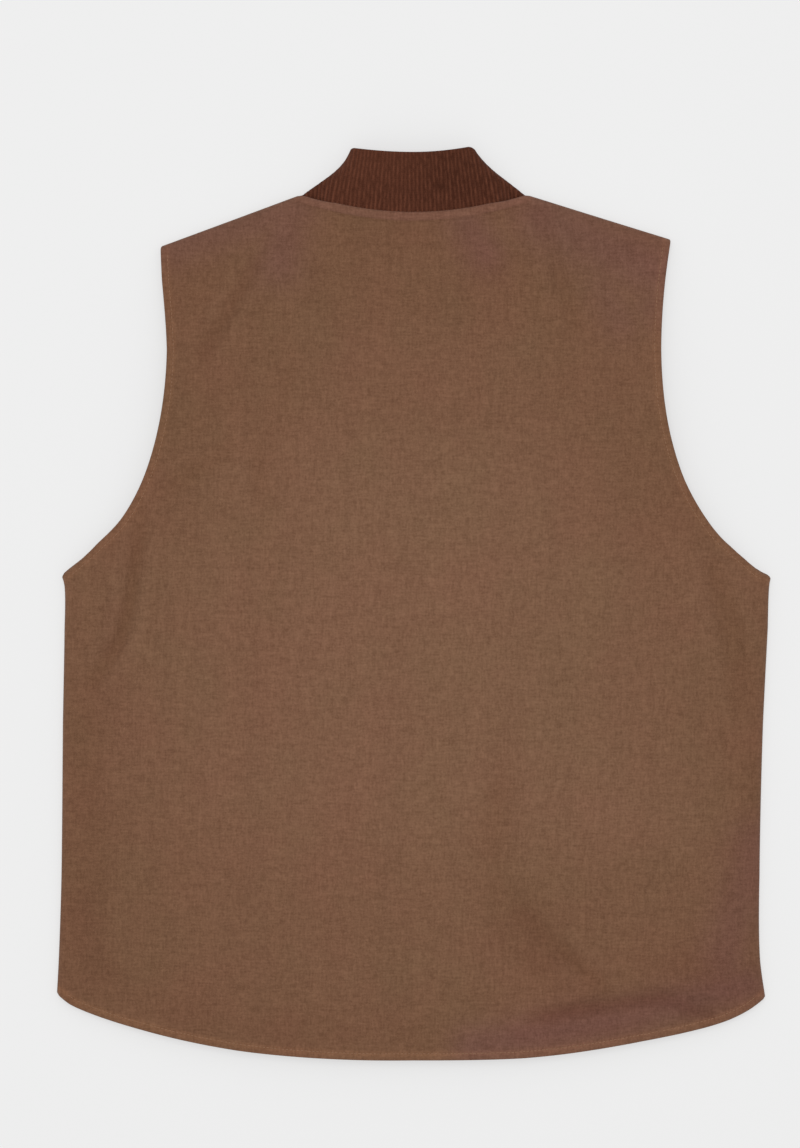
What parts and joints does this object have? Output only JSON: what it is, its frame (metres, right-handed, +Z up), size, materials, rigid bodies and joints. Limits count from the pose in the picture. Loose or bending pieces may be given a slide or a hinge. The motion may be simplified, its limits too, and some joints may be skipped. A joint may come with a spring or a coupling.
{
  "type": "canvas work vest",
  "caption": "Sleeveless brown canvas work vest with a dark rib-knit stand collar and a curved hem, lying flat with its back up.",
  "frame": {"origin": "on the surface the vest lies on, under the middle of its bounding box", "axes": "+X to the right seen from above, +Y from the hem towards the collar, +Z up out of the back"},
  "size_m": [0.598, 0.7666, 0.0274],
  "materials": {
    "canvas": "matt brown plain-weave cotton canvas with a fine mottled yarn",
    "rib_knit": "matt dark reddish-brown rib knit",
    "zip": "dull aged brass teeth and slider on a brown woven tape"
  },
  "bodies": {
    "root": {"back_panel": "canvas", "front_panel_left": "canvas", "front_panel_right": "canvas", "rib_collar": "rib_knit", "front_zip": "zip"}
  },
  "joints": []
}
